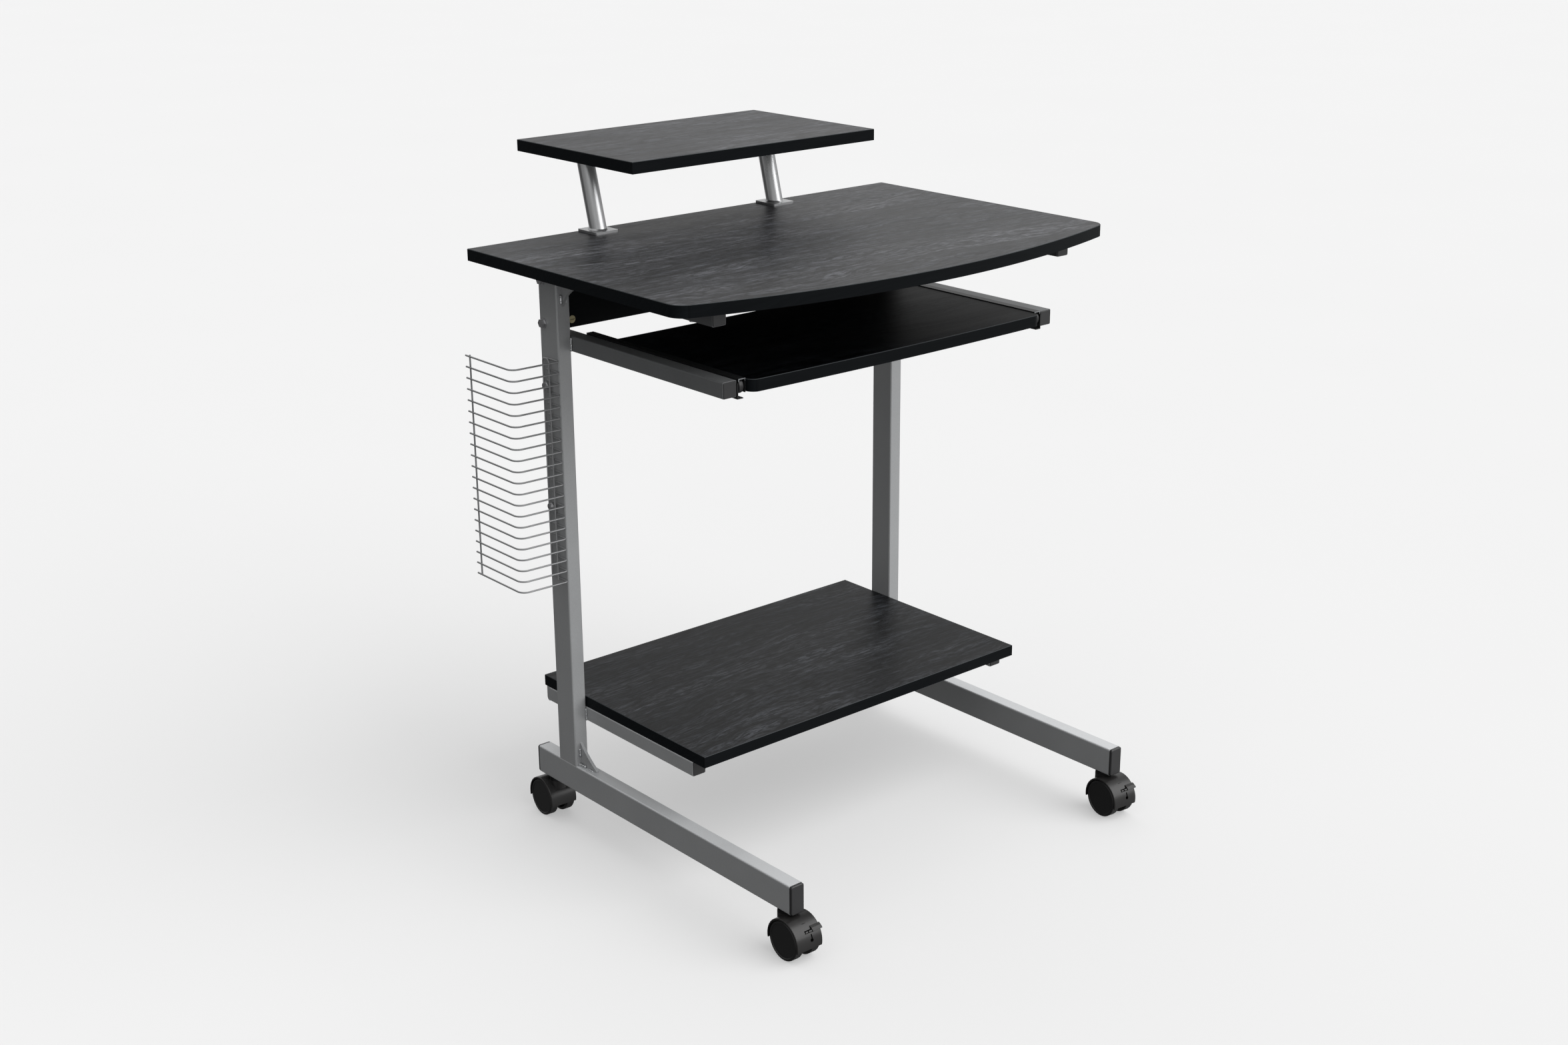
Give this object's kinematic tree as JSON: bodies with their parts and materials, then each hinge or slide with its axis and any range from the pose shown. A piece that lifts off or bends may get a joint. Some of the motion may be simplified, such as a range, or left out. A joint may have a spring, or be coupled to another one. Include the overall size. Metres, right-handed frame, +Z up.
{
  "type": "cpu holder desk cart",
  "caption": "Mobile computer desk on swivel casters with a low CPU shelf, a pull-out keyboard tray, a raised monitor shelf and a wire CD rack.",
  "frame": {"origin": "on the floor under the centre of the bounding box", "axes": "+Z up, +Y to the rear of the desk, +X to the right of a person sitting at it"},
  "size_m": [0.7138, 0.6705, 0.887],
  "materials": {
    "laminate": "satin black-ash laminate",
    "frame_paint": "satin silver-grey powder coat",
    "silver_paint": "satin silver",
    "weld_metal": "lumpy, silver painted",
    "black_plastic": "satin",
    "caster_plastic": "satin gloss",
    "wheel_plastic": "satin",
    "nylon": "satin",
    "zinc_steel": "bright zinc",
    "stem_steel": "black zinc",
    "brass_nut": "dull",
    "wire_grey": "satin grey coat",
    "rail_black": "black coat"
  },
  "bodies": {
    "frame": {"arm_end_caps": "black_plastic", "barrel_nuts": "brass_nut", "caster_stems": "stem_steel", "cd_rack_end_wire": "wire_grey", "cd_rack_hairpin": "wire_grey", "cd_rack_rungs": "wire_grey", "cd_rack_screws": "zinc_steel", "cpu_shelf": "laminate", "desktop": "laminate", "foot_end_caps": "black_plastic", "frame_screws": "zinc_steel", "gussets": "frame_paint", "left_foot": "frame_paint", "left_keyboard_arm": "frame_paint", "left_monitor_tube": "silver_paint", "left_outer_rail": "rail_black", "left_post": "frame_paint", "left_shelf_arm": "frame_paint", "left_top_arm": "frame_paint", "modesty_panel": "laminate", "monitor_post_bolts": "zinc_steel", "monitor_post_plates": "silver_paint", "monitor_shelf": "laminate", "panel_bolts": "zinc_steel", "panhead_screws": "zinc_steel", "right_foot": "frame_paint", "right_keyboard_arm": "frame_paint", "right_monitor_tube": "silver_paint", "right_outer_rail": "rail_black", "right_post": "frame_paint", "right_shelf_arm": "frame_paint", "right_top_arm": "frame_paint", "weld_beads": "weld_metal"},
    "tray": {"keyboard_tray": "laminate", "left_inner_rail": "rail_black", "right_inner_rail": "rail_black", "tray_screws": "zinc_steel"},
    "left_front_roller": {"left_front_roller": "nylon"},
    "right_front_roller": {"right_front_roller": "nylon"},
    "left_rear_roller": {"left_rear_roller": "nylon"},
    "right_rear_roller": {"right_rear_roller": "nylon"},
    "front_left_caster": {"front_left_caster_hood": "caster_plastic", "front_left_caster_axle": "zinc_steel"},
    "front_left_wheel_left": {"front_left_wheel_left": "wheel_plastic"},
    "front_left_wheel_right": {"front_left_wheel_right": "wheel_plastic"},
    "front_left_brake_lever": {"front_left_brake_lever": "caster_plastic"},
    "front_right_caster": {"front_right_caster_hood": "caster_plastic", "front_right_caster_axle": "zinc_steel"},
    "front_right_wheel_left": {"front_right_wheel_left": "wheel_plastic"},
    "front_right_wheel_right": {"front_right_wheel_right": "wheel_plastic"},
    "front_right_brake_lever": {"front_right_brake_lever": "caster_plastic"},
    "rear_left_caster": {"rear_left_caster_hood": "caster_plastic", "rear_left_caster_axle": "zinc_steel"},
    "rear_left_wheel_left": {"rear_left_wheel_left": "wheel_plastic"},
    "rear_left_wheel_right": {"rear_left_wheel_right": "wheel_plastic"},
    "rear_right_caster": {"rear_right_caster_hood": "caster_plastic", "rear_right_caster_axle": "zinc_steel"},
    "rear_right_wheel_left": {"rear_right_wheel_left": "wheel_plastic"},
    "rear_right_wheel_right": {"rear_right_wheel_right": "wheel_plastic"}
  },
  "joints": [
    {"name": "tray_slide", "type": "slide", "parent": "frame", "child": "tray", "axis": [0, -1, 0], "range_m": [0, 0.22]},
    {"name": "left_front_roller_spin", "type": "hinge", "parent": "frame", "child": "left_front_roller", "pos_m": [-0.23984, -0.16684, 0.66675], "axis": [1, 0, 0], "range_deg": [-5, 1405.6]},
    {"name": "left_rear_roller_spin", "type": "hinge", "parent": "tray", "child": "left_rear_roller", "pos_m": [-0.23984, 0.11416, 0.6625], "axis": [1, 0, 0], "range_deg": [-5, 1542.2]},
    {"name": "right_front_roller_spin", "type": "hinge", "parent": "frame", "child": "right_front_roller", "pos_m": [0.25356, -0.16684, 0.66675], "axis": [1, 0, 0], "range_deg": [-5, 1405.6]},
    {"name": "right_rear_roller_spin", "type": "hinge", "parent": "tray", "child": "right_rear_roller", "pos_m": [0.25356, 0.11416, 0.6625], "axis": [1, 0, 0], "range_deg": [-5, 1542.2]},
    {"name": "front_left_swivel", "type": "hinge", "parent": "frame", "child": "front_left_caster", "pos_m": [-0.27614, -0.29084, 0.05], "axis": [0, 0, 1], "continuous": true},
    {"name": "front_left_wheel_left_spin", "type": "hinge", "parent": "front_left_caster", "child": "front_left_wheel_left", "pos_m": [-0.2887, -0.30563, 0.025], "axis": [0.9998, -0.0175, 0], "continuous": true},
    {"name": "front_left_wheel_right_spin", "type": "hinge", "parent": "front_left_caster", "child": "front_left_wheel_right", "pos_m": [-0.2641, -0.30606, 0.025], "axis": [0.9998, -0.0175, 0], "continuous": true},
    {"name": "front_left_brake_lever_tilt", "type": "hinge", "parent": "front_left_caster", "child": "front_left_brake_lever", "pos_m": [-0.2753, -0.32858, 0.04032], "axis": [0.9998, -0.0175, 0], "range_deg": [0, 10]},
    {"name": "front_right_swivel", "type": "hinge", "parent": "frame", "child": "front_right_caster", "pos_m": [0.28986, -0.29084, 0.05], "axis": [0, 0, 1], "continuous": true},
    {"name": "front_right_wheel_left_spin", "type": "hinge", "parent": "front_right_caster", "child": "front_right_wheel_left", "pos_m": [0.2763, -0.30472, 0.025], "axis": [0.9962, -0.0872, 0], "continuous": true},
    {"name": "front_right_wheel_right_spin", "type": "hinge", "parent": "front_right_caster", "child": "front_right_wheel_right", "pos_m": [0.30081, -0.30686, 0.025], "axis": [0.9962, -0.0872, 0], "continuous": true},
    {"name": "front_right_brake_lever_tilt", "type": "hinge", "parent": "front_right_caster", "child": "front_right_brake_lever", "pos_m": [0.28807, -0.32855, 0.04032], "axis": [0.9962, -0.0872, 0], "range_deg": [0, 10]},
    {"name": "rear_left_swivel", "type": "hinge", "parent": "frame", "child": "rear_left_caster", "pos_m": [-0.27614, 0.18266, 0.05], "axis": [0, 0, 1], "continuous": true},
    {"name": "rear_left_wheel_left_spin", "type": "hinge", "parent": "rear_left_caster", "child": "rear_left_wheel_left", "pos_m": [-0.26307, 0.19699, 0.025], "axis": [-0.9986, 0.0523, 0], "continuous": true},
    {"name": "rear_left_wheel_right_spin", "type": "hinge", "parent": "rear_left_caster", "child": "rear_left_wheel_right", "pos_m": [-0.28763, 0.19828, 0.025], "axis": [-0.9986, 0.0523, 0], "continuous": true},
    {"name": "rear_right_swivel", "type": "hinge", "parent": "frame", "child": "rear_right_caster", "pos_m": [0.28986, 0.18266, 0.05], "axis": [0, 0, 1], "continuous": true},
    {"name": "rear_right_wheel_left_spin", "type": "hinge", "parent": "rear_right_caster", "child": "rear_right_wheel_left", "pos_m": [0.30136, 0.19828, 0.025], "axis": [-0.9986, -0.0523, 0], "continuous": true},
    {"name": "rear_right_wheel_right_spin", "type": "hinge", "parent": "rear_right_caster", "child": "rear_right_wheel_right", "pos_m": [0.2768, 0.19699, 0.025], "axis": [-0.9986, -0.0523, 0], "continuous": true}
  ],
  "couplings": [
    {"joint": "left_front_roller_spin", "follows": "tray_slide", "rad_per_m": 111.11},
    {"joint": "left_rear_roller_spin", "follows": "tray_slide", "rad_per_m": 121.95},
    {"joint": "right_front_roller_spin", "follows": "tray_slide", "rad_per_m": 111.11},
    {"joint": "right_rear_roller_spin", "follows": "tray_slide", "rad_per_m": 121.95}
  ]
}
